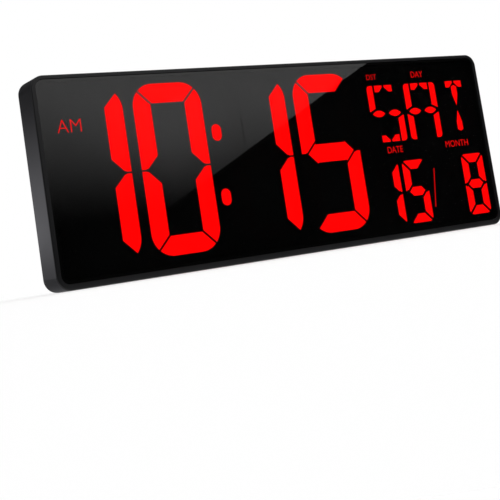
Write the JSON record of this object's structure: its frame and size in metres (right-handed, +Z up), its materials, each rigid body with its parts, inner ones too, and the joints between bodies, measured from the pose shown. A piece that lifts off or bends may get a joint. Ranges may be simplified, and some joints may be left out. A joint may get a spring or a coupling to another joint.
{
  "type": "digital wall clock",
  "caption": "Wide black digital wall clock with a smoked panel over large red time figures, weekday and date, rear push buttons, keyholes and fold-out legs.",
  "frame": {"origin": "on the surface the clock stands on, under the middle of its case", "axes": "+X to the right as seen from the front, +Y from the face towards the wall, +Z up"},
  "size_m": [0.42, 0.025, 0.1515],
  "materials": {
    "case_abs": "satin, fine moulded grain",
    "cover_abs": "matt moulded grain",
    "smoked_acrylic": "clear gloss, dark tint",
    "foam_tape": "matt",
    "mask_film": "matt black ink",
    "well_plate": "matt black",
    "lit_red": "lit red diffuser",
    "unlit_red": "unlit smoked diffuser",
    "board_green": "solder mask",
    "led_white": "resin",
    "zinc_screw": "black zinc",
    "chip_epoxy": "matt epoxy",
    "tin_can": "drawn metal",
    "sensor_epoxy": "dark epoxy",
    "contact_metal": "nickel plated",
    "speaker_steel": "plated steel",
    "speaker_paper": "coated paper",
    "cell_steel": "stainless",
    "pin_steel": "bright drawn",
    "button_abs": "satin",
    "plunger_plastic": "satin",
    "leg_abs": "satin",
    "tip_rubber": "matt"
  },
  "bodies": {
    "clock": {"board_link": "chip_epoxy", "board_screws": "zinc_screw", "capacitors": "tin_can", "case_screws": "zinc_screw", "cell_contact_centre": "contact_metal", "cell_contact_side": "contact_metal", "clock_crystal": "tin_can", "coin_cell": "cell_steel", "colon_segments": "lit_red", "date_segments": "lit_red", "date_slash": "lit_red", "driver_chips": "chip_epoxy", "front_case": "case_abs", "front_lens": "smoked_acrylic", "hinge_pins": "pin_steel", "hour_segments": "lit_red", "ir_receiver": "sensor_epoxy", "key_board": "board_green", "key_board_screws": "zinc_screw", "led_board": "board_green", "led_chips": "led_white", "lens_tape": "foam_tape", "light_box": "well_plate", "light_sensor": "sensor_epoxy", "main_chip": "chip_epoxy", "mask_film": "mask_film", "minute_segments": "lit_red", "month_segments": "lit_red", "power_jack": "chip_epoxy", "power_jack_pin": "contact_metal", "rear_cover": "cover_abs", "speaker_cone": "speaker_paper", "speaker_contacts": "contact_metal", "speaker_frame": "speaker_steel", "speaker_magnet": "speaker_steel", "switch_housings": "chip_epoxy", "temperature_sensor": "chip_epoxy", "unlit_segments": "unlit_red", "voltage_regulator": "chip_epoxy", "weekday_segments": "lit_red"},
    "battery_cap": {"battery_cap": "button_abs"},
    "left_leg": {"left_leg": "leg_abs", "left_leg_tip": "tip_rubber"},
    "right_leg": {"right_leg": "leg_abs", "right_leg_tip": "tip_rubber"},
    "set_button": {"set_button": "button_abs", "set_switch_plunger": "plunger_plastic"},
    "alarm_button": {"alarm_button": "button_abs", "alarm_switch_plunger": "plunger_plastic"},
    "up_button": {"up_button": "button_abs", "up_switch_plunger": "plunger_plastic"},
    "down_button": {"down_button": "button_abs", "down_switch_plunger": "plunger_plastic"},
    "light_button": {"light_button": "button_abs", "light_switch_plunger": "plunger_plastic"}
  },
  "joints": [
    {"name": "left_leg_fold", "type": "hinge", "parent": "clock", "child": "left_leg", "pos_m": [-0.15, 0.0097, 0.124], "axis": [1, 0, 0], "range_deg": [0, 20]},
    {"name": "right_leg_fold", "type": "hinge", "parent": "clock", "child": "right_leg", "pos_m": [0.15, 0.0097, 0.124], "axis": [1, 0, 0], "range_deg": [0, 20]},
    {"name": "battery_cap_twist", "type": "hinge", "parent": "clock", "child": "battery_cap", "pos_m": [0.058, 0.0115, 0.05575], "axis": [0, 1, 0], "range_deg": [0, 60]},
    {"name": "set_button_press", "type": "slide", "parent": "clock", "child": "set_button", "axis": [0, -1, 0], "range_m": [0, 0.0008], "stiffness_N_per_m": 1500},
    {"name": "alarm_button_press", "type": "slide", "parent": "clock", "child": "alarm_button", "axis": [0, -1, 0], "range_m": [0, 0.0008], "stiffness_N_per_m": 1500},
    {"name": "up_button_press", "type": "slide", "parent": "clock", "child": "up_button", "axis": [0, -1, 0], "range_m": [0, 0.0008], "stiffness_N_per_m": 1500},
    {"name": "down_button_press", "type": "slide", "parent": "clock", "child": "down_button", "axis": [0, -1, 0], "range_m": [0, 0.0008], "stiffness_N_per_m": 1500},
    {"name": "light_button_press", "type": "slide", "parent": "clock", "child": "light_button", "axis": [0, -1, 0], "range_m": [0, 0.0008], "stiffness_N_per_m": 1500}
  ]
}
